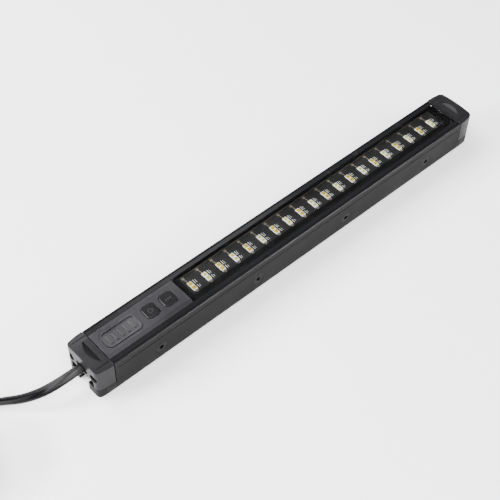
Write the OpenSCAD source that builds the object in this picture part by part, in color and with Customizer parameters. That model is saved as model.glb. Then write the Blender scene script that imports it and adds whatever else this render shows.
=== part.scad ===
// Slim twelve-volt LED work light with a T-slot rail, two keys and a flat twin lead.
// X runs along the bar (lead at the -X end), Y across it, Z up from the face it rests on.

/* [Light bar] */
// Overall length over both end caps
light_l = 310; // [230:1:400]
// Overall width
light_w = 30; // [28:0.5:40]
// Height of the long top edges above the resting face
edge_h = 23.2; // [22.6:0.2:32]
// Rise of the crowned top above the long edges
crown_h = 1.4; // [0.8:0.1:2]
// Length of each end cap that shows
cap_l = 12; // [10:0.5:18]
// How far each side curves in at the very end
end_in = 1.5; // [0.5:0.1:2]
// Radius of the bar's four upright corners
corner_r = 3; // [1:0.1:4]

/* [Housing and rail] */
// Thickness of the housing's side walls
side_wall = 2.6; // [2.2:0.1:3.2]
// Thickness of the housing's bottom flanges
floor_t = 2; // [1.6:0.1:3]
// Radius along the bottom edges
foot_r = 2; // [0.5:0.1:3]
// Height of the two feet beside the slot
foot_h = 6.8; // [6:0.1:9]
// Width of the slot's mouth
slot_w = 9; // [7:0.1:11]
// Width of the slot's pocket
pocket_w = 20; // [16:0.1:20.4]
// Height of the slot's pocket
pocket_h = 5.4; // [4.5:0.1:6]
// Thickness of the rail's web over the pocket
web_t = 1.4; // [1:0.1:2]
// Depth of the top frame's lip on the long edges
lip_t = 1; // [0.8:0.1:1.4]

/* [Top] */
// Width over the raised panel at its foot
panel_w = 20.4; // [18:0.2:21]
// Width of the panel's flat top
plateau_w = 16; // [14:0.2:17]
// Length of the switch panel from the lead-end seam
panel_l = 59.6; // [58:0.2:70]
// Thickness of the lens
lens_t = 1.3; // [1:0.1:1.4]

/* [Keys] */
// Key size along the bar
key_l = 8.8; // [7:0.1:9]
// Key size across the bar
key_w = 9.2; // [7:0.1:9.6]
// Distance of the first key from the lead-end seam
key_1 = 37; // [36:0.5:38]
// Distance between the two keys
key_pitch = 12.7; // [12:0.1:13]
// Travel of each key
key_travel = 0.5; // [0.3:0.05:0.6]

/* [LEDs] */
// Distance between LED pairs
led_pitch = 10.8; // [8:0.1:12]
// Side of one LED package
led_side = 3; // [2.4:0.1:3.1]

/* [Screws] */
// Side screws on each side
side_screws = 4; // [3:1:6]
// Distance of the outer side screws from the seams
side_screw_in = 32; // [20:1:40]
// Height of the side screws
side_screw_z = 9.8; // [9:0.1:10.4]
// Head radius of the M4 side screws
head_r = 4; // [3.8:0.1:4.2]
// Radius of the M3 cap screws' counterbores
bore_r = 2.8; // [2.4:0.1:2.9]

/* [Lead] */
// Width of the flat twin lead
cord_w = 5.8; // [5:0.1:6.4]
// Thickness of the flat twin lead
cord_t = 2.9; // [2.5:0.1:3]
// Straight run of the folded hank
hank_run = 62.6; // [50:0.1:80]
// Radius of the hank's inner turn
hank_r = 17; // [16:0.5:20]

/* [Plug] */
// Radius of the plug's grip
grip_r = 10.5; // [10:0.1:12]
// Length of the plug's shell
shell_l = 56; // [50:1:70]
// Radius of the plug's centre contact
tip_r = 4; // [3:0.1:4.5]
// Travel of the centre contact
tip_travel = 3; // [1:0.5:4]

/* [Hidden] */
$fn = 48;

fit = 0.1;           // gap between pieces that slide together
slip = 0.05;         // radial gap round screws and pins
eps = 0.01;
half_l = light_l / 2;
half_w = light_w / 2;
seam = half_l - cap_l;
seam_gap = 0.5;      // gap at each seam, filled by the gasket
foot_gap = 0.35;     // open gap between a cap and the feet under it
round_step = 0.02;   // lets two round edges cross where they would only touch
end_r = (cap_l * cap_l + end_in * end_in) / (2 * end_in);
crown_r = (half_w * half_w + crown_h * crown_h) / (2 * crown_h);
top_z = edge_h + crown_h;
lip_z = edge_h - lip_t;
wall_top = lip_z - fit;
inner_w = light_w - 2 * side_wall;
pocket_z = foot_h + pocket_h;
web_z = pocket_z + web_t;

// rail
rail_w = inner_w - 2 * fit;
rail_z0 = floor_t + slip;
rail_flange = 1;
rail_top = edge_h - 4.8;
port_r = 2.1;
port_y = rail_w / 2 - port_r;
port_z = web_z + 2.4;
m3_core = 1.5;
m4_r = 2;

// boards
board_z = rail_top + fit;
pad_t = 0.3;
spreader_w = 15.6;
led_board_z = board_z + pad_t;
led_board_t = 1.6;
led_board_w = 21.2;
led_top = led_board_z + led_board_t;
package_t = 0.7;
ctrl_t = 1.2;
ctrl_w = rail_w - 1;
panel_x0 = -seam + fit;
panel_x1 = -seam + panel_l;
window_x0 = panel_x1 + 0.4;
window_x1 = seam - 1.4;
led_x0 = window_x0 + 7.7;
led_count = floor((window_x1 - 9 - led_x0) / led_pitch) + 1;
led_y = led_side / 2 + 0.1;

jumper_r = 0.35;     // wires between the boards
jumper_pitch = 3;
jumper_z = led_top + jumper_r + 0.15;

// lens and frame
lens_z1 = edge_h + 0.3;
lens_z0 = lens_z1 - lens_t;
well_z1 = lens_z0 - 0.3;
well_z0 = led_top + slip;
well_w = inner_w - 2 * fit - 1.2;
ledge = 2.1;
groove_w = 0.4;
groove_d = 0.5;
skirt_t = 0.35;

// keys
key_r = 2.2;
key_gap = 0.35;
key_z1 = top_z + 0.25;
key_flange_t = 0.7;
panel_under = edge_h - 0.2;
key_flange_z1 = panel_under - fit;
key_flange_z0 = key_flange_z1 - key_flange_t;
key_x = [-seam + key_1, -seam + key_1 + key_pitch];
ctrl_z = board_z;
ctrl_top = ctrl_z + ctrl_t;

// badge
badge_x = -seam + 15.9;
badge_l = 24.4;
badge_w = 12.6;
badge_r = 3.4;
badge_d = 0.8;

// lead: each point is x, y, z and the twist of the flat lead in degrees
outlet_w = 10;
outlet_h = 5.6;
outlet_z = port_z;
cord_route = [[-149, 0, 16, 0], [-155, 0, 16, 0], [-160, 0.2, 15.7, 5], [-166, 0.9, 14.6, 15],
    [-172, 2.2, 12.9, 28], [-178, 4.2, 10.9, 42], [-184, 7.2, 8.9, 56], [-190, 11.2, 6.9, 68],
    [-196, 16.4, 5.2, 78], [-202, 21.2, 4.1, 86], [-209, 24.6, 3.6, 90], [-217, 26.1, 3.5, 90],
    [-226, 26.5, 3.5, 90], [-238, 26.5, 3.5, 90]];
tail_route = [[-301, 26.5, 15.5, 90], [-309, 26.1, 15.3, 78], [-317, 24.2, 14.4, 58],
    [-325, 20.4, 12.9, 34], [-333, 16.4, 11.3, 12], [-340, 14.6, 10.6, 0], [-345, 14.5, 10.5, 0],
    [-356, 14.5, 10.5, 0]];
hank_x = -half_l - 83.5;
hank_y = 6.4;
turn_gap = 3.1;      // distance between turns side by side
layer_gap = 6;       // distance between turns on each other
tie_t = 0.5;
plug_x = -half_l - 190;
plug_y = 14.5;
plug_z = 10.5;

// ---- shared shapes ----

module rounded(l, w, r) {
    square([l - 2 * r, w], center = true);
    square([l, w - 2 * r], center = true);
    for (x = [-1, 1], y = [-1, 1])
        translate([x * (l / 2 - r), y * (w / 2 - r)]) circle(r);
}

// Extrudes a Y-Z section from x0 to x1
module along(x0, x1) {
    translate([x0, 0, 0]) rotate([90, 0, 90]) linear_extrude(x1 - x0) children();
}

// The bar's outline from above: sides that curve in at both ends, and round corners
module outline() {
    over = cap_l - corner_r;
    corner_y = half_w - end_r + sqrt(pow(end_r - corner_r, 2) - over * over) + round_step;
    touch_x = seam + end_r * over / (end_r - corner_r);
    intersection() {
        union() {
            square([2 * seam, light_w], center = true);
            for (s = [-1, 1]) intersection() {
                translate([s * seam, half_w - end_r]) circle(end_r, $fn = 160);
                translate([s * seam, end_r - half_w]) circle(end_r, $fn = 160);
            }
        }
        union() {
            square([2 * touch_x, light_w + 1], center = true);
            square([light_l, 2 * corner_y], center = true);
            for (x = [-1, 1], y = [-1, 1])
                translate([x * (half_l - corner_r), y * corner_y]) circle(corner_r);
        }
    }
}

// The raised panel's section, standing from z0
module plateau_section(z0) {
    polygon([[-panel_w / 2, z0], [panel_w / 2, z0], [panel_w / 2, edge_h + 0.3],
        [plateau_w / 2, top_z], [-plateau_w / 2, top_z], [-panel_w / 2, edge_h + 0.3]]);
}

// Places children at each side screw, with +Z pointing out of the given side
module at_side_screws(side) {
    step = (2 * seam - 2 * side_screw_in) / (side_screws - 1);
    for (i = [0:side_screws - 1])
        translate([-seam + side_screw_in + i * step, side * half_w, side_screw_z])
            rotate([-90 * side, 0, 0]) children();
}

// ---- casing ----

// Section of both side shells together, with rounded bottom edges
module housing_section() {
    translate([-half_w, foot_r]) square([light_w, wall_top - foot_r]);
    translate([foot_r - half_w, 0]) square([light_w - 2 * foot_r, foot_r + eps]);
    for (s = [-1, 1]) translate([s * (half_w - foot_r), foot_r]) circle(foot_r);
}

// One long side shell with its foot: side 1 stands on the +Y side, -1 on the -Y side
module side_shell(side) {
    score_z = edge_h * 0.81;
    color("#3b3b3d") difference() {
        intersection() {
            linear_extrude(wall_top) outline();
            along(-half_l, half_l) intersection() {
                housing_section();
                translate([side > 0 ? slot_w / 2 : -half_w, 0]) square([half_w - slot_w / 2, top_z]);
            }
        }
        for (s = [-1, 1])
            translate([s * (seam + light_l / 2), 0, foot_h + light_w])
                cube([light_l, 2 * light_w, 2 * light_w], center = true);
        along(-seam, seam) translate([-inner_w / 2, floor_t]) square([inner_w, edge_h]);
        at_side_screws(side) {
            translate([0, 0, -side_wall - 1]) cylinder(r = m4_r + slip, h = side_wall + 2);
            translate([0, 0, -m4_r]) cylinder(r1 = m4_r + slip, r2 = head_r + slip, h = m4_r);
        }
        translate([0, side * half_w, score_z]) cube([2 * seam - 4, 0.6, 0.5], center = true);
    }
}

module side_shell_left() {
    side_shell(1);
}

module side_shell_right() {
    side_shell(-1);
}

module rail_section() {
    lip = (rail_w - slot_w) / 2;
    cell = 1.4;
    difference() {
        union() {
            translate([-rail_w / 2, rail_z0]) square([rail_w, web_z - rail_z0]);
            rail_sides();
        }
        translate([-pocket_w / 2, foot_h]) square([pocket_w, pocket_h]);
        translate([-slot_w / 2, 0]) square([slot_w, foot_h + eps]);
        for (s = [-1, 1]) {
            translate([s * (slot_w + lip) / 2, (rail_z0 + foot_h) / 2])
                square([lip - 2 * cell, foot_h - rail_z0 - 2 * cell], center = true);
            translate([s * port_y, port_z]) circle(m3_core + slip);
        }
    }
}

// The rail's side flanges and its two screw ports
module rail_sides() {
    for (s = [-1, 1]) {
        translate([s * (rail_w - rail_flange) / 2, (web_z + rail_top) / 2])
            square([rail_flange, rail_top - web_z + eps], center = true);
        translate([s * port_y, port_z]) circle(port_r);
    }
}

module mounting_rail() {
    color("#8f9296") difference() {
        along(-seam + fit, seam - fit) rail_section();
        for (s = [-1, 1]) at_side_screws(s)
            translate([0, 0, -half_w]) cylinder(r = m4_r + slip, h = half_w + 1);
    }
}

// Height of the crowned top at distance y from the middle
function crown_z(y) = top_z - crown_r + sqrt(crown_r * crown_r - y * y);

// Crowned section of an end cap above the feet
module cap_section() {
    intersection() {
        translate([-half_w, foot_h + foot_gap]) square([light_w, top_z]);
        translate([0, top_z - crown_r]) circle(crown_r, $fn = 360);
    }
}

// Fingernail scoop: a segment of a circle, deepest at its straight inner side
module nail_scoop() {
    chord = 17.4;
    rise = 3.5;
    deep = 1.8;
    arc_r = (chord * chord / 4 + rise * rise) / (2 * rise);
    tilt = atan(deep / rise);
    intersection() {
        translate([0, 0, top_z - deep]) linear_extrude(2 * deep) intersection() {
            translate([rise - arc_r, 0]) circle(arc_r, $fn = 96);
            translate([0, -chord]) square([chord, 2 * chord]);
        }
        translate([rise, 0, top_z]) rotate([0, -tilt, 0])
            translate([-2 * chord, -chord, 0]) cube([2 * chord + 2, 2 * chord, chord]);
    }
}

// An end cap as it stands at the +X end
module end_cap() {
    bar = 3.6;
    seat = 5.5;
    x0 = seam + seam_gap;
    line_y = panel_w / 2 + 1;
    line_z = crown_z(line_y) - 0.5;
    difference() {
        union() {
            intersection() {
                linear_extrude(2 * top_z) outline();
                along(x0, half_l) cap_section();
            }
            along(x0, x0 + bar) plateau_section(edge_h - 1);
        }
        along(seam - 1, half_l + 1) translate([-pocket_w / 2, 0]) square([pocket_w, pocket_z]);
        along(seam - 1, half_l - 3) translate([-6, web_z]) square([12, edge_h - 1.6 - web_z]);
        for (s = [-1, 1]) translate([0, s * port_y, port_z]) rotate([0, 90, 0]) {
            cylinder(r = m3_core + 0.15, h = half_l + 1);
            translate([0, 0, half_l - seat]) cylinder(r = bore_r, h = seat + 1);
        }
        translate([x0 + bar, 0, 0]) nail_scoop();
        for (s = [-1, 1]) translate([seam, s * line_y - groove_w / 2, line_z])
            cube([cap_l - 2.4, groove_w, crown_h]);
    }
}

module cable_end_cap() {
    color("#4a4a4d") difference() {
        mirror([1, 0, 0]) end_cap();
        along(-half_l - 1, -seam) translate([0, outlet_z]) rounded(outlet_w, outlet_h, outlet_h / 2 - eps);
    }
}

module far_end_cap() {
    color("#4a4a4d") end_cap();
}

module cap_gasket() {
    inset = 1;
    along(seam + slip, seam + seam_gap - slip) difference() {
        translate([-half_w + inset, web_z + inset]) square([light_w - 2 * inset, lip_z - web_z]);
        translate([-6, web_z]) square([12, lip_z - web_z - 1]);
        for (s = [-1, 1]) translate([s * port_y, port_z]) circle(m3_core + 0.15);
    }
}

module cable_cap_gasket() {
    color("#111111") mirror([1, 0, 0]) cap_gasket();
}

module far_cap_gasket() {
    color("#111111") cap_gasket();
}

// ---- top ----

// One long side of the top frame: lip, groove, strip and the skirt inside the wall
module frame_side_section() {
    inner = panel_w / 2 + fit;
    groove_y = half_w - 1.4;
    skirt_y = inner_w / 2 - fit;
    polygon([[inner, lip_z - fit], [inner, lens_z1], [groove_y - groove_w, edge_h],
        [groove_y - groove_w, edge_h - groove_d], [groove_y, edge_h - groove_d],
        [groove_y, edge_h], [half_w - 0.5, edge_h], [half_w, edge_h - 0.5], [half_w, lip_z],
        [skirt_y, lip_z], [skirt_y, well_z0], [skirt_y - skirt_t, well_z0],
        [skirt_y - skirt_t, lip_z - fit]]);
}

module top_frame() {
    bar_z = lip_z - fit;
    color("#414144") {
        along(-seam + fit, seam - fit) {
            frame_side_section();
            mirror([1, 0]) frame_side_section();
        }
        translate([window_x1 + fit, -panel_w / 2 - fit - eps, bar_z])
            cube([seam - window_x1 - 2 * fit, panel_w + 2 * fit + 2 * eps, lens_z1 - bar_z]);
    }
}

module switch_panel() {
    z0 = lip_z;
    color("#49494d") difference() {
        along(panel_x0, panel_x1) plateau_section(z0);
        translate([panel_x0 + 2, -plateau_w / 2 + 1, z0 - 1])
            cube([panel_l - 4, plateau_w - 2, panel_under - z0 + 1]);
        translate([badge_x, 0, top_z - badge_d])
            linear_extrude(2) rounded(badge_l, badge_w, badge_r);
        for (x = key_x) translate([x, 0, z0])
            linear_extrude(5) rounded(key_l + 2 * key_gap, key_w + 2 * key_gap, key_r + key_gap);
    }
}

// Blank badge: a raised border round a plain field with five low ribs
module badge_plate() {
    gap = 0.3;
    rim = 1.3;
    field = 0.4;
    z0 = top_z - badge_d;
    color("#57575b") translate([badge_x, 0, z0]) {
        difference() {
            linear_extrude(badge_d + 0.4) rounded(badge_l - 2 * gap, badge_w - 2 * gap, badge_r - gap);
            translate([0, 0, field])
                linear_extrude(2) rounded(badge_l - 2 * rim, badge_w - 2 * rim, badge_r - rim);
        }
        for (i = [-2:2]) translate([i * 4, 0, field - eps])
            linear_extrude(0.6) rounded(2, 6.6, 0.9);
    }
}

module key(x) {
    flange = 0.6;
    color("#2f2f33") translate([x, 0, 0]) {
        translate([0, 0, key_flange_z0 + eps])
            linear_extrude(key_z1 - key_flange_z0 - eps) rounded(key_l, key_w, key_r);
        translate([0, 0, key_flange_z0])
            linear_extrude(key_flange_t) rounded(key_l + 2 * flange, key_w + 2 * flange, key_r);
    }
}

module power_button() {
    key(key_x[0]);
}

module colour_button() {
    key(key_x[1]);
}

// Silicone dome between a key and the control board
module key_dome(x) {
    foot = 4.4;
    crown = 3.2;
    skin = 0.5;
    h = key_flange_z0 - ctrl_top;
    color("#d8d8d4") translate([x, 0, ctrl_top]) difference() {
        cylinder(r1 = foot, r2 = crown, h = h);
        translate([0, 0, -eps]) cylinder(r1 = foot - skin, r2 = crown - skin, h = h - skin);
    }
}

module power_key_dome() {
    key_dome(key_x[0]);
}

module colour_key_dome() {
    key_dome(key_x[1]);
}

// ---- electronics ----

module tact_switches() {
    side = 4.4;
    body_t = 1.1;
    plunger_t = key_flange_z0 - ctrl_top - 0.5 - 0.3;
    color("#202020") for (x = key_x) translate([x, 0, ctrl_top]) {
        translate([-side / 2, -side / 2, 0]) cube([side, side, body_t]);
        cylinder(r = 1.1, h = plunger_t);
    }
}

module control_board() {
    x0 = -seam + 15;
    color("#1e4d2b") translate([x0, -ctrl_w / 2, ctrl_z])
        cube([window_x0 - 1.6 - x0, ctrl_w, ctrl_t]);
}

module driver_coil() {
    color("#2a2a2a") translate([key_x[1] - 2, 0, ctrl_z - 3.6]) {
        cylinder(r = 4, h = 0.8);
        translate([0, 0, 0.7]) cylinder(r = 3, h = 2.2);
        translate([0, 0, 2.8]) cylinder(r = 4, h = 0.8);
    }
}

module driver_chips() {
    color("#151515") translate([key_x[0], 0, ctrl_z]) {
        translate([-4, -2.5, -1.5]) cube([5, 4, 1.5]);
        translate([-12, -3, -2]) cube([4, 6, 2]);
        translate([-16, -2, -1.2]) cube([2, 1.2, 1.2]);
        translate([-16, 1, -1.2]) cube([2, 1.2, 1.2]);
    }
}

module board_jumpers() {
    x0 = window_x0 - 3;
    x1 = window_x0 + 2;
    color("#b03030") for (i = [-1:1]) translate([x0, i * jumper_pitch, 0]) {
        translate([0, 0, ctrl_top]) cylinder(r = jumper_r, h = jumper_z - ctrl_top);
        translate([x1 - x0, 0, led_top]) cylinder(r = jumper_r, h = jumper_z - led_top);
        translate([-jumper_r, 0, jumper_z]) rotate([0, 90, 0])
            cylinder(r = jumper_r, h = x1 - x0 + 2 * jumper_r);
    }
}

module led_board() {
    x0 = window_x0 + 0.4;
    color("#16181a") translate([x0, -led_board_w / 2, led_board_z])
        cube([window_x1 - 1 - x0, led_board_w, led_board_t]);
}

// Places children at the LEDs of one colour: 0 is amber, 1 is white
module at_leds(colour) {
    for (i = [colour:2:led_count - 1], s = [-1, 1])
        translate([led_x0 + i * led_pitch, s * led_y, led_top]) children();
}

module package() {
    translate([-led_side / 2, -led_side / 2, 0]) cube([led_side, led_side, package_t]);
}

module phosphor(side) {
    translate([-side / 2, -side / 2, package_t]) cube([side, side, 0.08]);
}

module led_packages_amber() {
    color("#e9e6dc") at_leds(0) package();
}

module led_packages_white() {
    color("#e9e6dc") at_leds(1) package();
}

module phosphor_amber() {
    color("#ffb31e") at_leds(0) phosphor(led_side - 0.6);
}

module phosphor_white() {
    color("#ffe65a") at_leds(1) phosphor(led_side - 1.2);
}

module led_resistors() {
    color("#8a8378") for (i = [0:led_count - 1])
        translate([led_x0 + i * led_pitch - 0.7, -5.6, led_top]) cube([1.4, 1.8, 0.5]);
}

module thermal_pad() {
    x0 = window_x0 + 2;
    color("#9aa0a6") translate([x0, -spreader_w / 2, board_z])
        cube([window_x1 - 8 - x0, spreader_w, pad_t]);
}

module heat_spreader() {
    leg = 1.5;
    h = board_z - web_z;
    color("#a4a7ab") along(window_x0 + 2, window_x1 - 8) translate([0, web_z]) {
        translate([-spreader_w / 2, h - leg]) square([spreader_w, leg]);
        for (s = [-1, 1]) translate([s * (spreader_w / 2 - leg) - leg / 2, 0])
            square([leg, h - leg + eps]);
    }
}

module light_well() {
    near = 5.9;
    far = 9.8;
    band = 3.6;
    x0 = window_x0 + 0.5;
    color("#0c0c0d") difference() {
        translate([0, 0, well_z0]) linear_extrude(well_z1 - well_z0) difference() {
            translate([x0, -well_w / 2]) square([window_x1 - 0.5 - x0, well_w]);
            translate([x0 + band, -near]) square([window_x1 - x0 - 2 * band - 0.4, near + far]);
        }
        translate([x0 - 1, -jumper_pitch - 1, well_z0 - 1])
            cube([band, 2 * jumper_pitch + 2, jumper_z + jumper_r + fit - well_z0 + 1]);
    }
}

module lens_gasket() {
    x0 = window_x0 + 0.5;
    color("#141414") translate([0, 0, well_z1]) linear_extrude(lens_z0 - well_z1) difference() {
        translate([x0, -panel_w / 2]) square([window_x1 - 0.5 - x0, panel_w]);
        translate([x0 + 1, -panel_w / 2 + 1]) square([window_x1 - 2.5 - x0, panel_w - 2]);
    }
}

module lens() {
    color("#c9d4dc", 0.3) translate([window_x0, -panel_w / 2, lens_z0])
        cube([window_x1 - window_x0, panel_w, lens_t]);
}

// ---- fasteners ----

module side_screw() {
    hex_r = 1.44;
    difference() {
        union() {
            translate([0, 0, -5]) cylinder(r = m4_r, h = 3.05);
            translate([0, 0, -m4_r]) cylinder(r1 = m4_r, r2 = head_r - 0.15, h = m4_r - 0.05);
        }
        translate([0, 0, -1.4]) cylinder(r = hex_r, h = 2, $fn = 6);
    }
}

module side_screws_left() {
    color("#2b2b2c") at_side_screws(1) side_screw();
}

module side_screws_right() {
    color("#2b2b2c") at_side_screws(-1) side_screw();
}

// M3 pan-head screw at the +X end, its head down in the counterbore
module cap_screw() {
    seat_x = half_l - 5.5;
    for (s = [-1, 1]) translate([seat_x, s * port_y, port_z]) rotate([0, 90, 0]) difference() {
        union() {
            translate([0, 0, fit]) cylinder(r = bore_r - 0.15, h = 2);
            translate([0, 0, -16]) cylinder(r = m3_core, h = 16 + fit + eps);
        }
        translate([0, 0, 1]) cylinder(r = 1.15, h = 2, $fn = 6);
    }
}

module cable_cap_screws() {
    color("#1c1c1c") mirror([1, 0, 0]) cap_screw();
}

module far_cap_screws() {
    color("#1c1c1c") cap_screw();
}

// ---- lead ----

module cord_hole() {
    rounded(cord_w + 2 * slip, cord_t + 2 * slip, cord_t / 2);
}

module cable_gland() {
    x1 = -half_l + 0.8;
    color("#0e0e0e") difference() {
        union() {
            along(x1, -half_l + 3 + eps) translate([0, outlet_z])
                rounded(outlet_w - 2 * slip, outlet_h - 2 * slip, outlet_h / 2 - fit);
            along(-half_l + 3 + slip, -half_l + 4.6) translate([0, outlet_z])
                rounded(11.6, outlet_h - 1, 1.2);
        }
        along(x1 - 1, -half_l + 6) translate([0, outlet_z]) cord_hole();
    }
}

module cord_anchor() {
    color("#6b6b6b") along(-half_l + 5, -half_l + 7.5) difference() {
        translate([-5.9, web_z + fit]) square([11.8, 4.6]);
        translate([0, outlet_z]) cord_hole();
    }
}

// Moves a run of the lead with the cap that the lead leaves
module with_cap() {
    translate([-half_l - cord_route[1][0], 0, 0]) children();
}

function unit(v) = v / norm(v);
function xyz(p) = [p[0], p[1], p[2]];
function heading(r, i) = unit(xyz(r[min(i + 1, len(r) - 1)]) - xyz(r[max(i - 1, 0)]));
// Unit vector across the flat lead at point i, turned by the point's twist
function across(r, i) = let (t = heading(r, i), side = unit(cross(t, [0, 0, 1])),
    up = cross(side, t)) side * cos(r[i][3]) + up * sin(r[i][3]);
function ring(r, i, a, b, n) = let (t = heading(r, i), u = across(r, i), v = cross(t, u))
    [for (k = [0:n - 1]) xyz(r[i]) + u * (a * cos(360 * k / n)) + v * (b * sin(360 * k / n))];

// Sweeps an oval of half-width a and half-thickness b along route r
module swept(r, a, b, n = 8) {
    rings = [for (i = [0:len(r) - 1]) each ring(r, i, a, b, n)];
    skin = [for (i = [0:len(r) - 2], k = [0:n - 1])
        let (m = (k + 1) % n) [i * n + k, i * n + m, (i + 1) * n + m, (i + 1) * n + k]];
    first = [for (k = [n - 1:-1:0]) k];
    last = [for (k = [0:n - 1]) (len(r) - 1) * n + k];
    polyhedron(points = rings, faces = concat(skin, [first, last]), convexity = 4);
}

module power_leads() {
    x0 = -half_l + 7.6;
    x1 = -seam + 17;
    color("#a02020") for (s = [-1, 1]) {
        translate([x0, s * 1.4, outlet_z]) rotate([0, 90, 0]) cylinder(r = 0.7, h = x1 - x0);
        translate([x1 - 0.7, s * 1.4, outlet_z]) cylinder(r = 0.7, h = ctrl_z - outlet_z);
    }
}

module power_cord() {
    color("#161617") with_cap() swept(cord_route, cord_w / 2, cord_t / 2);
}

// Plan of the folded lead: straight runs with a round fold at each end
module hank_outline(r) {
    translate([hank_x - hank_run, hank_y - r]) square([hank_run, 2 * r]);
    for (x = [hank_x - hank_run, hank_x]) translate([x, hank_y]) circle(r, $fn = 72);
}

module cord_hank() {
    color("#161617") translate([0, 0, tie_t])
        linear_extrude(3 * layer_gap) difference() {
            hank_outline(hank_r + turn_gap + cord_t / 2 + slip);
            hank_outline(hank_r - cord_t / 2 - slip);
        }
}

module cord_ties() {
    bundle = turn_gap + cord_t + 2 * slip;
    mid_y = hank_r + turn_gap / 2;
    h = 3 * layer_gap;
    color("#2a2a2a") for (s = [-1, 1]) translate([hank_x - hank_run / 2, hank_y + s * mid_y, 0])
        rotate([90, 0, 90]) linear_extrude(9, center = true) difference() {
            translate([-bundle / 2 - tie_t, 0]) square([bundle + 2 * tie_t, h + 2 * tie_t]);
            translate([-bundle / 2, tie_t]) square([bundle, h]);
        }
}

module cord_tail() {
    color("#161617") with_cap() swept(tail_route, cord_w / 2, cord_t / 2);
}

// ---- plug ----

// Places a shape of revolution on the plug's axis: profile x is the radius,
// profile y the distance from the plug's back, where the lead goes in
module on_plug() {
    translate([plug_x, plug_y, plug_z]) rotate([0, -90, 0]) rotate_extrude() children();
}

relief_l = 14;
neck_r = 4.2;
shell_x0 = 12;       // distance of the shell's back from the plug's back
shell_x1 = shell_x0 + shell_l;
barrel_r = grip_r - 0.4;
barrel_l = 22;
bore_in = 7.4;       // radius of the shell's hollow
collar_l = 10;
collar_x1 = shell_x1 + fit + collar_l;
shoulder = collar_x1 - 3.5;

module plug_relief() {
    color("#121212") difference() {
        on_plug() polygon([[0, 0], [3.9, 0], [neck_r - slip + 0.9, shell_x0 - slip],
            [neck_r - slip, shell_x0 - slip], [neck_r - slip, shell_x0 + 3],
            [neck_r + 1.6, shell_x0 + 3.2], [neck_r + 1.6, shell_x0 + 5], [0, shell_x0 + 5]]);
        translate([plug_x + 1, plug_y, plug_z]) rotate([90, 0, -90])
            linear_extrude(relief_l + 8) cord_hole();
    }
}

module shell_profile() {
    polygon([[neck_r, shell_x0], [7.4, shell_x0], [grip_r, shell_x0 + 8],
        [grip_r, shell_x1 - barrel_l], [barrel_r, shell_x1 - barrel_l + 1], [barrel_r, shell_x1],
        [bore_in, shell_x1], [bore_in, shell_x0 + 3], [neck_r, shell_x0 + 3]]);
}

// One half of the shell: side 1 is the upper half, -1 the lower
module plug_shell(side) {
    contact_x = plug_x - shell_x1 + barrel_l / 2;
    color("#1a1a1a") difference() {
        intersection() {
            on_plug() shell_profile();
            translate([plug_x - 100, plug_y - 50, plug_z + (side > 0 ? slip / 2 : -50)])
                cube([120, 100, 50 - slip / 2]);
        }
        translate([contact_x, plug_y, plug_z]) cube([17, 60, 5], center = true);
    }
}

module plug_shell_upper() {
    plug_shell(1);
}

module plug_shell_lower() {
    plug_shell(-1);
}

module plug_collar() {
    color("#202022") on_plug() polygon([[barrel_r, shell_x1 + fit], [barrel_r, collar_x1 - 5],
        [barrel_r - 2, collar_x1], [tip_r + slip, collar_x1], [tip_r + slip, shoulder],
        [bore_in, shoulder], [bore_in, shell_x1 + fit]]);
}

module plug_tip() {
    flange_t = 1.6;
    nose = 5;
    color("#c9c9cc") on_plug() {
        polygon([[0, shoulder - fit - flange_t], [tip_r + 2, shoulder - fit - flange_t],
            [tip_r + 2, shoulder - fit], [tip_r, shoulder - fit], [tip_r, collar_x1 + nose - 2],
            [tip_r - 2, collar_x1 + nose], [0, collar_x1 + nose]]);
    }
}

spring_x1 = shoulder - fit - 1.6;
spring_x0 = spring_x1 - 10;
fuse_l = 26;

// Spring drawn as its coils: a stack of rings joined by a thin sleeve
module plug_spring() {
    turns = 6;
    pitch = (spring_x1 - spring_x0 - 0.8) / (turns - 1);
    color("#b8b8ba") on_plug() {
        for (i = [0:turns - 1]) translate([3, spring_x0 + 0.4 + i * pitch]) circle(0.4, $fn = 16);
        translate([2.95, spring_x0 + 0.2]) square([0.1, spring_x1 - spring_x0 - 0.4]);
    }
}

module plug_fuse() {
    x1 = spring_x0 - fit;
    color("#d0d0d0") on_plug() polygon([[0, x1 - fuse_l], [3.2, x1 - fuse_l],
        [3.2, x1 - fuse_l + 6], [2.9, x1 - fuse_l + 6], [2.9, x1 - 6], [3.2, x1 - 6],
        [3.2, x1], [0, x1]]);
}

// Two bowed spring strips that press on the socket's wall
module plug_side_contacts() {
    strip_t = 0.6;
    bow_l = 16;
    bow = 1.6;
    bow_r = (bow_l * bow_l / 4 + bow * bow) / (2 * bow);
    mid_x = plug_x - shell_x1 + barrel_l / 2;
    y0 = barrel_r - 1;
    color("#c9c9cc") for (s = [-1, 1]) translate([mid_x, plug_y, plug_z - 2]) linear_extrude(4)
        intersection() {
            translate([-bow_l / 2, s > 0 ? y0 : -y0 - 4]) square([bow_l, 4]);
            translate([0, s * (y0 + bow - bow_r)]) difference() {
                circle(bow_r, $fn = 120);
                circle(bow_r - strip_t, $fn = 120);
            }
        }
}

module plug_leads() {
    x0 = shell_x0 + 5.2;
    x1 = spring_x0 - fit - fuse_l - 0.1;
    color("#a02020") for (s = [-1, 1]) translate([plug_x - x1, plug_y + s * 1.4, plug_z])
        rotate([0, 90, 0]) cylinder(r = 0.7, h = x1 - x0);
}

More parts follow.
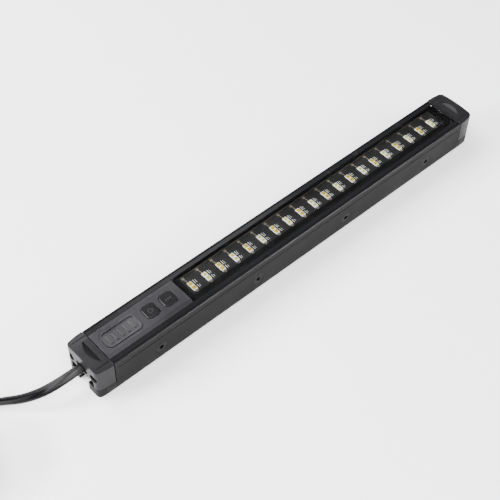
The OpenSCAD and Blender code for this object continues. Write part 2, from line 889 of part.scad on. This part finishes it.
side_shell_left();
side_shell_right();
mounting_rail();
cable_end_cap();
far_end_cap();
cable_cap_gasket();
far_cap_gasket();
top_frame();
switch_panel();
badge_plate();
power_button();
colour_button();
power_key_dome();
colour_key_dome();
tact_switches();
control_board();
driver_coil();
driver_chips();
board_jumpers();
led_board();
led_packages_amber();
led_packages_white();
phosphor_amber();
phosphor_white();
led_resistors();
thermal_pad();
heat_spreader();
light_well();
lens_gasket();
lens();
side_screws_left();
side_screws_right();
cable_cap_screws();
far_cap_screws();
cable_gland();
cord_anchor();
power_leads();
power_cord();
cord_hank();
cord_ties();
cord_tail();
plug_relief();
plug_shell_upper();
plug_shell_lower();
plug_collar();
plug_tip();
plug_spring();
plug_fuse();
plug_side_contacts();
plug_leads();
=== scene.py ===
# A slim twelve-volt LED work light with a T-slot rail, two keys and a flat twin lead.
# Metres throughout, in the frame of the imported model: X along the bar, Z up.
import bpy, bmesh
from math import radians, cos, sin, pi
from mathutils import Matrix, Vector


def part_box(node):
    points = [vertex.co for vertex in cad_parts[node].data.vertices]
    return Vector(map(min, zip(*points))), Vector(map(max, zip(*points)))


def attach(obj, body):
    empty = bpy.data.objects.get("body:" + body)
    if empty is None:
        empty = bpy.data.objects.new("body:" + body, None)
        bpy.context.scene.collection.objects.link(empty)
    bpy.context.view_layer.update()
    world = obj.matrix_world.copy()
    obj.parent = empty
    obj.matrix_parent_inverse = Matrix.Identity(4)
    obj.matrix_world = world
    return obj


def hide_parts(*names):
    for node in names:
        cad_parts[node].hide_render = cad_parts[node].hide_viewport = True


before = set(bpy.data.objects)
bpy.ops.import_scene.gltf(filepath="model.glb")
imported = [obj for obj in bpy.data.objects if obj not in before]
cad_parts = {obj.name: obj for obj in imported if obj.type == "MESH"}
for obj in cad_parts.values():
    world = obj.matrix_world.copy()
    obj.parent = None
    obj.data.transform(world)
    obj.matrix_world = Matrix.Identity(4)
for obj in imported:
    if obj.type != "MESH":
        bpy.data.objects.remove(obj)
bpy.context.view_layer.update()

# ---- Side shells -------------------------------------------------------------
# Two long shells, each with a foot and four countersunk screw seats, moulded in
# glass-filled nylon with a fine spark-eroded grain and screwed to the rail.


def new_group(name, inputs, outputs):
    tree = bpy.data.node_groups.new(name, "ShaderNodeTree")
    for label, kind, value in inputs:
        socket = tree.interface.new_socket(label, in_out="INPUT", socket_type=kind)
        if value is not None:
            socket.default_value = value
    for label, kind in outputs:
        tree.interface.new_socket(label, in_out="OUTPUT", socket_type=kind)
    return tree, tree.nodes.new("NodeGroupInput"), tree.nodes.new("NodeGroupOutput")


def add(tree, kind, **settings):
    node = tree.nodes.new(kind)
    for key, value in settings.items():
        if key in node.inputs:
            node.inputs[key].default_value = value
        else:
            setattr(node, key, value)
    return node


def spread(tree, source, source_low, source_high, low, high):
    """Stretch a noise value from one range to another."""
    node = add(tree, "ShaderNodeMapRange")
    node.inputs["From Min"].default_value = source_low
    node.inputs["From Max"].default_value = source_high
    node.inputs["To Min"].default_value = low
    node.inputs["To Max"].default_value = high
    tree.links.new(source, node.inputs["Value"])
    return node.outputs[0]


def shaded(tree, colour, amount):
    """Multiply a colour by a value that changes over the surface."""
    node = add(tree, "ShaderNodeVectorMath", operation="SCALE")
    tree.links.new(colour, node.inputs[0])
    tree.links.new(amount, node.inputs["Scale"])
    return node.outputs[0]


skin_outputs = [("Colour", "NodeSocketColor"), ("Roughness", "NodeSocketFloat"),
                ("Height", "NodeSocketFloat")]


def moulded_skin_group():
    tree, given, out = new_group(
        "moulded skin",
        [("Place", "NodeSocketVector", None), ("Colour", "NodeSocketColor", (0.03, 0.03, 0.03, 1)),
         ("Grain Size", "NodeSocketFloat", 4200.0), ("Rough", "NodeSocketFloat", 0.45)],
        skin_outputs)
    link = tree.links.new
    grain = add(tree, "ShaderNodeTexNoise", Detail=2.0, Roughness=0.6)
    link(given.outputs["Place"], grain.inputs["Vector"])
    link(given.outputs["Grain Size"], grain.inputs["Scale"])
    handled = add(tree, "ShaderNodeTexNoise", Scale=46.0, Detail=4.0, Roughness=0.55)
    link(given.outputs["Place"], handled.inputs["Vector"])
    both = add(tree, "ShaderNodeMath", operation="MULTIPLY")
    link(spread(tree, handled.outputs["Fac"], 0.3, 0.7, 0.88, 1.14), both.inputs[0])
    link(spread(tree, grain.outputs["Fac"], 0.35, 0.7, 0.9, 1.16), both.inputs[1])
    link(shaded(tree, given.outputs["Colour"], both.outputs[0]), out.inputs["Colour"])
    total = add(tree, "ShaderNodeMath", operation="ADD", use_clamp=True)
    link(spread(tree, handled.outputs["Fac"], 0.3, 0.7, -0.05, 0.06), total.inputs[0])
    link(given.outputs["Rough"], total.inputs[1])
    link(total.outputs[0], out.inputs["Roughness"])
    link(grain.outputs["Fac"], out.inputs["Height"])
    return tree


moulded_skin = moulded_skin_group()


def surfaced(name, group, colour, rough, strength, depth):
    """A material whose colour, roughness and bump come from one of the shared groups."""
    material = bpy.data.materials.new(name)
    material.use_nodes = True
    tree = material.node_tree
    shader = tree.nodes["Principled BSDF"]
    place = add(tree, "ShaderNodeTexCoord")
    skin = add(tree, "ShaderNodeGroup", node_tree=group)
    skin.inputs["Colour"].default_value = (*colour, 1)
    skin.inputs["Rough"].default_value = rough
    bump = add(tree, "ShaderNodeBump", Strength=strength, Distance=depth)
    link = tree.links.new
    link(place.outputs["Object"], skin.inputs["Place"])
    link(skin.outputs["Colour"], shader.inputs["Base Color"])
    link(skin.outputs["Roughness"], shader.inputs["Roughness"])
    link(skin.outputs["Height"], bump.inputs["Height"])
    link(bump.outputs["Normal"], shader.inputs["Normal"])
    return material, shader, skin


def moulded(name, colour, rough, grain=4200.0, depth=0.00003, strength=0.35, coat=0.0, shine=0.5):
    material, shader, skin = surfaced(name, moulded_skin, colour, rough, strength, depth)
    skin.inputs["Grain Size"].default_value = grain
    shader.inputs["Coat Weight"].default_value = coat
    shader.inputs["Coat Roughness"].default_value = 0.25
    shader.inputs["Specular IOR Level"].default_value = shine
    return material


def clean_mesh(node):
    """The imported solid's surface with its flat facets joined again."""
    piece = bmesh.new()
    piece.from_mesh(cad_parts[node].data)
    bmesh.ops.remove_doubles(piece, verts=piece.verts, dist=2e-6)
    bmesh.ops.dissolve_limit(piece, angle_limit=radians(0.6), verts=piece.verts,
                             edges=piece.edges, use_dissolve_boundaries=False)
    return piece


def finish_piece(piece, name, material, sharp=35):
    mesh = bpy.data.meshes.new(name)
    piece.to_mesh(mesh)
    piece.free()
    mesh.shade_smooth()
    mesh.set_sharp_from_angle(angle=radians(sharp))
    mesh.materials.append(material)
    made = bpy.data.objects.new(name, mesh)
    bpy.context.scene.collection.objects.link(made)
    return made


def soften(made, width, segments=2, angle=35):
    edge = made.modifiers.new("moulded edge", "BEVEL")
    edge.width = width
    edge.segments = segments
    edge.limit_method = "ANGLE"
    edge.angle_limit = radians(angle)
    edge.harden_normals = True
    edge.use_clamp_overlap = True
    flat = made.modifiers.new("flat faces", "WEIGHTED_NORMAL")
    flat.mode = "FACE_AREA"
    flat.weight = 100
    flat.keep_sharp = True


def stand_for(made, node, body="light"):
    """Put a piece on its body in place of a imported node."""
    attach(made, body)
    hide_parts(node)


housing_skin = moulded("housing skin", (0.0045, 0.0044, 0.0044), 0.44, grain=2600.0, shine=0.06)
for node, name in (("side_shell_left", "left_shell"), ("side_shell_right", "right_shell")):
    shell = finish_piece(clean_mesh(node), name, housing_skin)
    soften(shell, 0.00022)
    stand_for(shell, node)

# ---- Mounting rail -----------------------------------------------------------
# Aluminium extrusion that makes the T-slot and holds every screw. It is drawn
# through a die, so its anodised faces carry fine lines along the bar.


def drawn_lines_group():
    tree, given, out = new_group(
        "drawn lines",
        [("Place", "NodeSocketVector", None), ("Colour", "NodeSocketColor", (0.6, 0.6, 0.6, 1)),
         ("Rough", "NodeSocketFloat", 0.3)],
        skin_outputs)
    link = tree.links.new
    pull = add(tree, "ShaderNodeMapping")
    pull.inputs["Scale"].default_value = (9.0, 1500.0, 1500.0)
    link(given.outputs["Place"], pull.inputs["Vector"])
    lines = add(tree, "ShaderNodeTexNoise", Scale=1.0, Detail=5.0, Roughness=0.6)
    link(pull.outputs[0], lines.inputs["Vector"])
    tone = spread(tree, lines.outputs["Fac"], 0.3, 0.7, 0.86, 1.08)
    link(shaded(tree, given.outputs["Colour"], tone), out.inputs["Colour"])
    gloss = add(tree, "ShaderNodeMath", operation="MULTIPLY_ADD", use_clamp=True)
    link(lines.outputs["Fac"], gloss.inputs[0])
    gloss.inputs[1].default_value = 0.2
    link(given.outputs["Rough"], gloss.inputs[2])
    link(gloss.outputs[0], out.inputs["Roughness"])
    link(lines.outputs["Fac"], out.inputs["Height"])
    return tree


drawn_lines = drawn_lines_group()


def metal(name, colour, rough):
    material, shader, _ = surfaced(name, drawn_lines, colour, rough, strength=0.3, depth=0.00001)
    shader.inputs["Metallic"].default_value = 1.0
    return material


rail_metal = metal("anodised rail", (0.03, 0.03, 0.032), 0.3)
rail = finish_piece(clean_mesh("mounting_rail"), "slot_rail", rail_metal)
soften(rail, 0.00015)
stand_for(rail, "mounting_rail")

# ---- End caps and their gaskets ----------------------------------------------
# Two moulded caps with a fingernail scoop each, screwed to the rail's ends over a
# thin rubber sheet. They come from a glossier tool than the housing.

cap_skin = moulded("end cap skin", (0.0096, 0.0094, 0.0105), 0.34, grain=2400.0, shine=0.09)
seal_rubber = moulded("seal rubber", (0.006, 0.006, 0.006), 0.75, grain=2500.0)
for node, name in (("cable_end_cap", "lead_end_cap"), ("far_end_cap", "plain_end_cap")):
    cap = finish_piece(clean_mesh(node), name, cap_skin)
    soften(cap, 0.0007, segments=3, angle=40)
    stand_for(cap, node)
for node, name in (("cable_cap_gasket", "lead_end_seal"), ("far_cap_gasket", "plain_end_seal")):
    seal = finish_piece(clean_mesh(node), name, seal_rubber)
    soften(seal, 0.00004, segments=1)
    stand_for(seal, node)

# ---- Top frame ---------------------------------------------------------------
# Satin frame that closes the housing: a thin lip on each long edge, a narrow
# groove inside it, and a flat strip down to the lens and the panel.

frame_skin = moulded("frame skin", (0.006, 0.006, 0.0066), 0.22, strength=0.2, shine=0.07)
top = finish_piece(clean_mesh("top_frame"), "top_trim", frame_skin)
soften(top, 0.00015)
stand_for(top, "top_frame")

# ---- Switch panel and badge --------------------------------------------------
# Raised satin panel at the lead end, with a recess for a badge and two rounded key
# holes. The badge is a pressed-in plate with a rim and five plain ribs, unprinted.

panel_skin = moulded("panel skin", (0.0088, 0.0084, 0.0103), 0.36, grain=1500.0,
                     depth=0.00006, strength=0.9, shine=0.28)
panel = finish_piece(clean_mesh("switch_panel"), "key_panel", panel_skin)
soften(panel, 0.00025, segments=3)
stand_for(panel, "switch_panel")

badge_skin = moulded("badge skin", (0.0108, 0.0103, 0.0124), 0.30, grain=3000.0)
badge = finish_piece(clean_mesh("badge_plate"), "plain_badge", badge_skin)
soften(badge, 0.00028, segments=3)
stand_for(badge, "badge_plate")

# ---- Keys and their domes ----------------------------------------------------
# Two square keys with crowned tops, each with a faint raised mark: a ring with a
# bar for power and three small dots for colour. They sit on milky silicone domes.

key_skin = moulded("key skin", (0.0023, 0.0023, 0.0028), 0.3, grain=2600.0, coat=0.45, shine=0.1)
mark_skin = moulded("key mark", (0.016, 0.016, 0.018), 0.45, grain=5000.0)
for node, name in (("power_button", "power_key"), ("colour_button", "colour_key")):
    key = finish_piece(clean_mesh(node), name, key_skin)
    soften(key, 0.0008, segments=4, angle=50)
    stand_for(key, node, body=node)


stroke = 0.00028
mark_gap = 60


def raised_mark(name, body, low, high, shapes):
    """A flat mark of dots, bars and arcs, raised from low to high."""
    mark = bmesh.new()
    for kind, x, y, size in shapes:
        if kind == "dot":
            made = bmesh.ops.create_circle(mark, cap_ends=True, segments=20, radius=size)
            bmesh.ops.translate(mark, verts=made["verts"], vec=(x, y, high))
        if kind == "bar":
            made = bmesh.ops.create_grid(mark, x_segments=1, y_segments=1, size=0.5)
            bmesh.ops.scale(mark, verts=made["verts"], vec=(size, stroke, 1))
            bmesh.ops.translate(mark, verts=made["verts"], vec=(x, y, high))
        if kind == "arc":
            middle = Vector((x, y, high))
            start = mark.verts.new((x + size - stroke / 2, y, high))
            end = mark.verts.new((x + size + stroke / 2, y, high))
            edge = mark.edges.new((start, end))
            turn = Matrix.Rotation(radians(mark_gap / 2), 3, "Z")
            for v in (start, end):
                v.co = turn @ (v.co - middle) + middle
            bmesh.ops.spin(mark, geom=[edge, start, end], cent=middle, axis=(0, 0, 1),
                           angle=radians(360 - mark_gap), steps=24)
    bmesh.ops.recalc_face_normals(mark, faces=mark.faces)
    for face in mark.faces:
        if face.normal.z < 0:
            face.normal_flip()
    thick = bmesh.ops.extrude_face_region(mark, geom=list(mark.faces), use_keep_orig=True)
    moved = [v for v in thick["geom"] if isinstance(v, bmesh.types.BMVert)]
    bmesh.ops.translate(mark, verts=moved, vec=(0, 0, low - high))
    bmesh.ops.recalc_face_normals(mark, faces=mark.faces)
    made = finish_piece(mark, name, mark_skin)
    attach(made, body)


for node, name, shapes in (
        ("power_button", "power_mark", [("arc", 0, 0, 0.0014), ("bar", 0.0014, 0, 0.0016)]),
        ("colour_button", "colour_mark", [("dot", x, 0, 0.00045) for x in (-0.0016, 0, 0.0016)])):
    low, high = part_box(node)
    cx = (low[0] + high[0]) / 2
    placed = [(kind, cx + x, y, size) for kind, x, y, size in shapes]
    sunk, proud = 0.0002, 0.00002
    raised_mark(name, node, high[2] - sunk, high[2] + proud, placed)

dome_silicone = moulded("milky silicone", (0.62, 0.62, 0.58), 0.5, grain=1800.0)
for node, name in (("power_key_dome", "power_dome"), ("colour_key_dome", "colour_dome")):
    dome = finish_piece(clean_mesh(node), name, dome_silicone)
    soften(dome, 0.0001)
    stand_for(dome, node)

# ---- Control board and what it carries ---------------------------------------
# Green glass-fibre board under the panel. The two switches stand on it, the
# driver's coil, chips and capacitors hang below it, and three wires leave it.

board_green = moulded("green solder mask", (0.012, 0.09, 0.035), 0.3, grain=900.0, coat=0.4)
black_parts = moulded("moulded chip", (0.015, 0.015, 0.016), 0.5, grain=5000.0)
wire_skin = moulded("red wire", (0.10, 0.006, 0.005), 0.35, grain=2600.0)
for node, name, material, slot in (
        ("control_board", "key_board", board_green, "board_green"),
        ("tact_switches", "key_switches", black_parts, "switch_plastic"),
        ("driver_coil", "driver_choke", black_parts, "coil_ferrite"),
        ("driver_chips", "driver_parts", black_parts, "chip_black"),
        ("board_jumpers", "jumper_wires", wire_skin, "wire_red"),
        ("power_leads", "inner_wires", wire_skin, "wire_red")):
    part = finish_piece(clean_mesh(node), name, material)
    soften(part, 0.00006, segments=1)
    stand_for(part, node)

# ---- LED board ---------------------------------------------------------------
# Long aluminium-backed board with a black mask. Tan traces and bare pads run to
# each pair of LEDs, and short white dashes are printed beside them.

board_black = moulded("black solder mask", (0.008, 0.008, 0.0085), 0.4, grain=1200.0,
                      coat=0.05, shine=0.3)
led_board = finish_piece(clean_mesh("led_board"), "led_strip_board", board_black)
soften(led_board, 0.0001)
stand_for(led_board, "led_board")

board_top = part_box("led_board")[1][2]
amber_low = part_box("led_packages_amber")[0]
white_low, white_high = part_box("led_packages_white")
half_package = 0.0015
first_x = amber_low[0] + half_package
pitch = white_low[0] - amber_low[0]
pairs = 1 + round((white_high[0] - half_package - first_x) / pitch)


def laid_on_board(name, material, thick, cells):
    """Thin rectangles on the board, each given as x, y, length and width."""
    bite = 0.00001
    sheet = bmesh.new()
    for x, y, long, wide in cells:
        grown = bmesh.ops.create_cube(sheet, size=1.0)["verts"]
        bmesh.ops.scale(sheet, verts=grown, vec=(long, wide, thick))
        bmesh.ops.translate(sheet, verts=grown, vec=(x, y, board_top + thick / 2 - bite))
    made = finish_piece(sheet, name, material)
    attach(made, "light")


tin = metal("tinned pad", (0.55, 0.54, 0.5), 0.35)
trace_skin = moulded("masked trace", (0.16, 0.135, 0.10), 0.4, grain=1500.0)
print_ink = moulded("printed dashes", (0.85, 0.85, 0.83), 0.6, grain=5000.0)
xs = [first_x + i * pitch for i in range(pairs)]
laid_on_board("solder_pads", tin, 0.00006, [
    (x + dx, y, 0.0011, 0.0007) for x in xs for dx in (-0.0008, 0.0008)
    for y in (-0.0034, 0.0034)])
laid_on_board("board_traces", trace_skin, 0.00004, [
    cell for x in xs for cell in (
        (x - 0.0004, 0.0046, 0.0005, 0.0022), (x - 0.0007, 0.0060, 0.0005, 0.0020),
        (x - 0.0009, 0.0076, 0.0017, 0.0016), (x - 0.0004, -0.0044, 0.0005, 0.0014))] + [
    (0.5 * (xs[0] + xs[-1]), 0.0092, xs[-1] - xs[0] + 0.004, 0.00022)])
laid_on_board("board_print", print_ink, 0.00003, [
    cell for x in xs for cell in (
        (x + 0.0030, 0.0020, 0.00026, 0.0032), (x + 0.0030, -0.0019, 0.00026, 0.0026),
        (x + 0.0041, 0.0018, 0.00016, 0.0028), (x + 0.0041, -0.0021, 0.00016, 0.0018))])

# ---- LEDs and resistors ------------------------------------------------------
# Pairs of three-millimetre packages in white resin, amber and pale yellow in
# turn along the board. Each has a window of phosphor gel with a faint painted
# glow, though the LEDs are unlit; resistors sit beside.

package_resin = moulded("package resin", (0.92, 0.90, 0.84), 0.4, grain=3000.0)


def phosphor(name, colour, painted_glow):
    material = moulded(name, colour, 0.35, grain=2400.0)
    shader = material.node_tree.nodes["Principled BSDF"]
    # The faint emission is a painted glow: the LEDs are not lit.
    shader.inputs["Emission Color"].default_value = (*colour, 1)
    shader.inputs["Emission Strength"].default_value = painted_glow
    return material


amber_gel_painted_glow = phosphor("amber gel with painted glow", (0.42, 0.305, 0.0), 0.02)
yellow_gel_painted_glow = phosphor("pale yellow gel with painted glow", (0.46, 0.44, 0.0), 0.02)
resistor_skin = moulded("resistor body", (0.12, 0.10, 0.085), 0.45, grain=2600.0)
for node, name, material, slot, width in (
        ("led_packages_amber", "amber_packages", package_resin, "package_white", 0.00025),
        ("led_packages_white", "yellow_packages", package_resin, "package_white", 0.00025),
        ("phosphor_amber", "amber_windows_painted_glow", amber_gel_painted_glow, "phosphor_amber", 0.00003),
        ("phosphor_white", "yellow_windows_painted_glow", yellow_gel_painted_glow, "phosphor_white", 0.00003),
        ("led_resistors", "chip_resistors", resistor_skin, "resistor_grey", 0.00008)):
    part = finish_piece(clean_mesh(node), name, material)
    soften(part, width, segments=2)
    stand_for(part, node)

# ---- Heat path and light well ------------------------------------------------
# One sheet of grey pad and an aluminium channel carry the LEDs' heat to the rail.
# A black mask with one long opening lies over the board, under the lens seal; its
# wide black flange on the near side is painted shade, standing in for the shade
# along the lens's near edge.

pad_rubber = moulded("heat pad", (0.28, 0.30, 0.33), 0.7, grain=1500.0)
channel_metal = metal("plain channel", (0.58, 0.59, 0.6), 0.28)
# Near-black mask: partly a real part, partly painted shade along the near side of the board.
mask_black_and_painted_shade = moulded("light mask and painted shade", (0.002, 0.002, 0.002), 0.6, grain=3200.0, shine=0.1)
for node, name, material, slot in (
        ("thermal_pad", "heat_pads", pad_rubber, "pad_grey"),
        ("heat_spreader", "heat_channel", channel_metal, "rail_aluminium"),
        ("light_well", "light_mask_and_painted_shade", mask_black_and_painted_shade, "well_black"),
        ("lens_gasket", "lens_seal", seal_rubber, "gasket_rubber")):
    part = finish_piece(clean_mesh(node), name, material)
    soften(part, 0.0001)
    stand_for(part, node)

# ---- Lens --------------------------------------------------------------------
# One long clear polycarbonate cover with polished faces and rounded edges.

lens_clear = bpy.data.materials.new("clear lens")
lens_clear.use_nodes = True
shader = lens_clear.node_tree.nodes["Principled BSDF"]
shader.inputs["Base Color"].default_value = (0.97, 0.985, 0.99, 1)
shader.inputs["Metallic"].default_value = 0.0
shader.inputs["Transmission Weight"].default_value = 1.0
shader.inputs["IOR"].default_value = 1.49
place = add(lens_clear.node_tree, "ShaderNodeTexCoord")
skin = add(lens_clear.node_tree, "ShaderNodeGroup", node_tree=moulded_skin)
skin.inputs["Grain Size"].default_value = 150.0
skin.inputs["Rough"].default_value = 0.0
lens_clear.node_tree.links.new(place.outputs["Object"], skin.inputs["Place"])
lens_clear.node_tree.links.new(skin.outputs["Roughness"], shader.inputs["Roughness"])
lens = finish_piece(clean_mesh("lens"), "lens_cover", lens_clear)
stand_for(lens, "lens")

# ---- Screws ------------------------------------------------------------------
# Black zinc-plated steel. Four M4 countersunk screws a side hold the rail in the
# housing, and two M3 screws a cap run into the rail's ports.

screw_black = metal("black zinc", (0.009, 0.009, 0.0095), 0.4)
for node, name in (("side_screws_left", "left_screws"), ("side_screws_right", "right_screws"),
                   ("cable_cap_screws", "lead_end_screws"), ("far_cap_screws", "plain_end_screws")):
    part = finish_piece(clean_mesh(node), name, screw_black)
    soften(part, 0.00012)
    stand_for(part, node)

# ---- Gland and anchor --------------------------------------------------------
# The rubber gland fills the outlet round the flat lead; a steel clamp inside the
# cap takes the pull.

anchor_metal = metal("clamp steel", (0.4, 0.4, 0.41), 0.35)
for node, name, material, slot in (
        ("cable_gland", "lead_gland", seal_rubber, "gasket_rubber"),
        ("cord_anchor", "lead_clamp", anchor_metal, "anchor_steel")):
    part = finish_piece(clean_mesh(node), name, material)
    soften(part, 0.00025, segments=2)
    stand_for(part, node)

# ---- Plug --------------------------------------------------------------------
# Twelve-volt accessory plug: a two-part shell with a threaded collar, a sprung
# centre contact over a glass fuse, and two bowed side contacts.

plug_skin = moulded("plug shell", (0.007, 0.007, 0.0075), 0.35, grain=3600.0, shine=0.2)
contact_metal = metal("nickel plate", (0.72, 0.70, 0.66), 0.12)
spring_metal = metal("spring wire", (0.55, 0.55, 0.55), 0.25)
for node, name, material, slot, width, body in (
        ("plug_shell_upper", "plug_upper", plug_skin, "plug_plastic", 0.0004, "light"),
        ("plug_shell_lower", "plug_lower", plug_skin, "plug_plastic", 0.0004, "light"),
        ("plug_collar", "plug_ring", plug_skin, "plug_plastic", 0.0004, "light"),
        ("plug_tip", "plug_centre", contact_metal, "contact_nickel", 0.0003, "plug_tip"),
        ("plug_spring", "plug_coils", spring_metal, "spring_steel", 0.00002, "light"),
        ("plug_fuse", "plug_glass_fuse", spring_metal, "fuse_glass", 0.0002, "light"),
        ("plug_side_contacts", "plug_strips", contact_metal, "contact_nickel", 0.00012, "light"),
        ("plug_leads", "plug_wires", wire_skin, "wire_red", 0.00006, "light"),
        ("plug_relief", "plug_boot", seal_rubber, "cord_pvc", 0.0003, "light")):
    part = finish_piece(clean_mesh(node), name, material)
    soften(part, width)
    stand_for(part, node, body=body)

# ---- Power lead --------------------------------------------------------------
# Flat twin lead of 5.8 by 2.9 mm with a valley between its two cores, 1.2 m long.
# It leaves the gland, turns on edge on the bench, and is folded into a hank.

lead_wide = 0.0058
lead_thick = 0.0029
free_run = [(-149, 0, 16, 0), (-155, 0, 16, 0), (-160, 0.2, 15.7, 5), (-166, 0.9, 14.6, 15),
            (-172, 2.2, 12.9, 28), (-178, 4.2, 10.9, 42), (-184, 7.2, 8.9, 56),
            (-190, 11.2, 6.9, 68), (-196, 16.4, 5.2, 78), (-202, 21.2, 4.1, 86),
            (-209, 24.6, 3.6, 90), (-217, 26.1, 3.5, 90), (-226, 26.5, 3.5, 90)]
tail = [(-309, 26.1, 15.3, 78), (-317, 24.2, 14.4, 58), (-325, 20.4, 12.9, 34),
        (-333, 16.4, 11.3, 12), (-340, 14.6, 10.6, 0), (-345, 14.5, 10.5, 0), (-356, 14.5, 10.5, 0)]
hank_x, hank_y, hank_run = -238.5, 6.4, 62.6
inner, outer = 17.0, 20.1
layers = (3.5, 9.5, 15.5)


def on_hank(phase, radius, height):
    """A point and its twist, a share of the way round one turn of the folded lead."""
    lap = 2 * hank_run + 2 * pi * radius
    s = phase * lap
    if s < hank_run:
        return (hank_x - s, hank_y + radius, height, 90)
    s -= hank_run
    if s < pi * radius:
        a = pi / 2 + s / radius
        return (hank_x - hank_run + radius * cos(a), hank_y + radius * sin(a), height, 90)
    s -= pi * radius
    if s < hank_run:
        return (hank_x - hank_run + s, hank_y - radius, height, 90)
    s -= hank_run
    a = -pi / 2 + s / radius
    return (hank_x + radius * cos(a), hank_y + radius * sin(a), height, 90)


def eased(phase, start, end, a, b):
    """Go smoothly from a to b while the phase goes from start to end."""
    t = min(max((phase - start) / (end - start), 0), 1)
    t = t * t * (3 - 2 * t)
    return a + (b - a) * t


hank = []
steps = 48
hank_end = hank_run / (2 * hank_run + 2 * pi * outer) - 0.004
for i in range(4 * steps + 13):
    turn, phase = divmod(i / steps, 1)
    if turn == 0:
        radius, height = eased(phase, 0.86, 0.99, outer, inner), layers[0]
    elif turn == 1:
        radius, height = inner, eased(phase, 0.73, 0.86, layers[0], layers[1])
    elif turn == 2:
        radius, height = eased(phase, 0.60, 0.73, inner, outer), layers[1]
    elif turn == 3:
        radius, height = outer, eased(phase, 0.47, 0.60, layers[1], layers[2])
    else:
        radius, height = outer, layers[2]
    if turn == 4 and phase > hank_end:
        break
    hank.append(on_hank(phase, radius, height))
stations = free_run + hank + tail
route = [Vector(p[:3]) * 0.001 for p in stations]
twist = [radians(p[3]) for p in stations]


def smoothed(points, twists, per=3):
    """Points on a smooth curve through the given ones, with their twists."""
    fine, turned = [], []
    for i in range(len(points) - 1):
        p0, p1 = points[max(i - 1, 0)], points[i]
        p2, p3 = points[i + 1], points[min(i + 2, len(points) - 1)]
        for k in range(per):
            t = k / per
            fine.append(0.5 * ((2 * p1) + (p2 - p0) * t + (2 * p0 - 5 * p1 + 4 * p2 - p3) * t * t
                               + (3 * p1 - p0 - 3 * p2 + p3) * t ** 3))
            turned.append(twists[i] + (twists[i + 1] - twists[i]) * t)
    return fine + [points[-1]], turned + [twists[-1]]


route, twist = smoothed(route, twist)
around = 20
valley_half, valley_depth = 0.0009, 0.30
section = []
for k in range(around):
    a = 2 * pi * k / around
    across = 0.5 * lead_wide * cos(a)
    flat = 0.5 * lead_thick * (abs(sin(a)) ** 0.75) * (1 if sin(a) >= 0 else -1)
    valley = 1 - valley_depth * max(0.0, 1 - (across / valley_half) ** 2)
    section.append((across, flat * valley))
lead_mesh = bmesh.new()
rings = []
for i, point in enumerate(route):
    ahead = (route[min(i + 1, len(route) - 1)] - route[max(i - 1, 0)]).normalized()
    side = ahead.cross(Vector((0, 0, 1))).normalized()
    up = side.cross(ahead)
    wide = side * cos(twist[i]) + up * sin(twist[i])
    thin = ahead.cross(wide)
    rings.append([lead_mesh.verts.new(point + wide * u + thin * v) for u, v in section])
for a, b in zip(rings, rings[1:]):
    for k in range(around):
        m = (k + 1) % around
        lead_mesh.faces.new((a[k], a[m], b[m], b[k]))
lead_mesh.faces.new(rings[0][::-1])
lead_mesh.faces.new(rings[-1])
bmesh.ops.recalc_face_normals(lead_mesh, faces=lead_mesh.faces)
lead_skin = moulded("lead jacket", (0.0035, 0.0035, 0.004), 0.24, grain=1800.0,
                    strength=0.15, shine=0.16)
lead = finish_piece(lead_mesh, "twin_lead", lead_skin, sharp=60)
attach(lead, "light")
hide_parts("power_cord", "cord_hank", "cord_tail")
lead_length = sum((b - a).length for a, b in zip(route, route[1:]))
print("lead length", round(lead_length, 4))

strap_skin = moulded("strap", (0.009, 0.009, 0.0095), 0.7, grain=1500.0, depth=0.0002, strength=0.6)
straps = finish_piece(clean_mesh("cord_ties"), "lead_straps", strap_skin)
soften(straps, 0.0001)
stand_for(straps, "cord_ties")

# ---- Bench, lights and camera ------------------------------------------------
# A plain pale bench under soft studio light: a large box overhead, two behind
# it, a strip at the left and a narrow strip low at the front.

bench_mesh = bmesh.new()
bmesh.ops.create_grid(bench_mesh, x_segments=1, y_segments=1, size=6.0)
bmesh.ops.translate(bench_mesh, verts=bench_mesh.verts, vec=(0, 0, -0.0001))
bench_skin = bpy.data.materials.new("pale bench")
bench_skin.use_nodes = True
shader = bench_skin.node_tree.nodes["Principled BSDF"]
shader.inputs["Base Color"].default_value = (0.9, 0.9, 0.9, 1)
shader.inputs["Roughness"].default_value = 0.9
bench = finish_piece(bench_mesh, "bench", bench_skin)

world = bpy.data.worlds.new("studio")
bpy.context.scene.world = world
world.use_nodes = True
world.node_tree.nodes["Background"].inputs["Color"].default_value = (1, 1, 1, 1)
world.node_tree.nodes["Background"].inputs["Strength"].default_value = 0.06


def soft_box(name, place, aim, size, power):
    data = bpy.data.lights.new(name, "AREA")
    data.shape = "RECTANGLE"
    data.size, data.size_y = size
    data.energy = power
    lamp = bpy.data.objects.new(name, data)
    lamp.location = place
    lamp.rotation_euler = (Vector(aim) - Vector(place)).to_track_quat("-Z", "Y").to_euler()
    bpy.context.scene.collection.objects.link(lamp)


soft_box("top box", (-0.5, -0.6, 1.2), (0, 0, 0), (1.1, 1.1), 50)
soft_box("back box", (0.35, 1.12, 0.86), (0, 0, 0.02), (0.8, 0.28), 11)
soft_box("front strip", (0.65, -1.15, 0.68), (0, 0, 0.02), (1.2, 0.08), 24)
soft_box("left strip", (-1.2, 0.70, 0.62), (-0.1, 0, 0.02), (0.7, 0.2), 50)
soft_box("rear top", (-0.32, 0.59, 1.02), (0, 0, 0.02), (0.6, 0.6), 24)

forward = Vector((0.4349, 0.4684, -0.7691))
right = Vector((0.7432, -0.6689, 0.0129))
back = -forward.normalized()
right = (right - right.dot(back) * back).normalized()
up = back.cross(right)
view = bpy.data.cameras.new("camera")
view.sensor_width = 36.0
view.lens = 78.30
camera = bpy.data.objects.new("camera", view)
camera.matrix_world = Matrix((
    (right.x, up.x, back.x, -0.3137), (right.y, up.y, back.y, -0.3051),
    (right.z, up.z, back.z, 0.5190), (0, 0, 0, 1)))
bpy.context.scene.collection.objects.link(camera)
bpy.context.scene.camera = camera
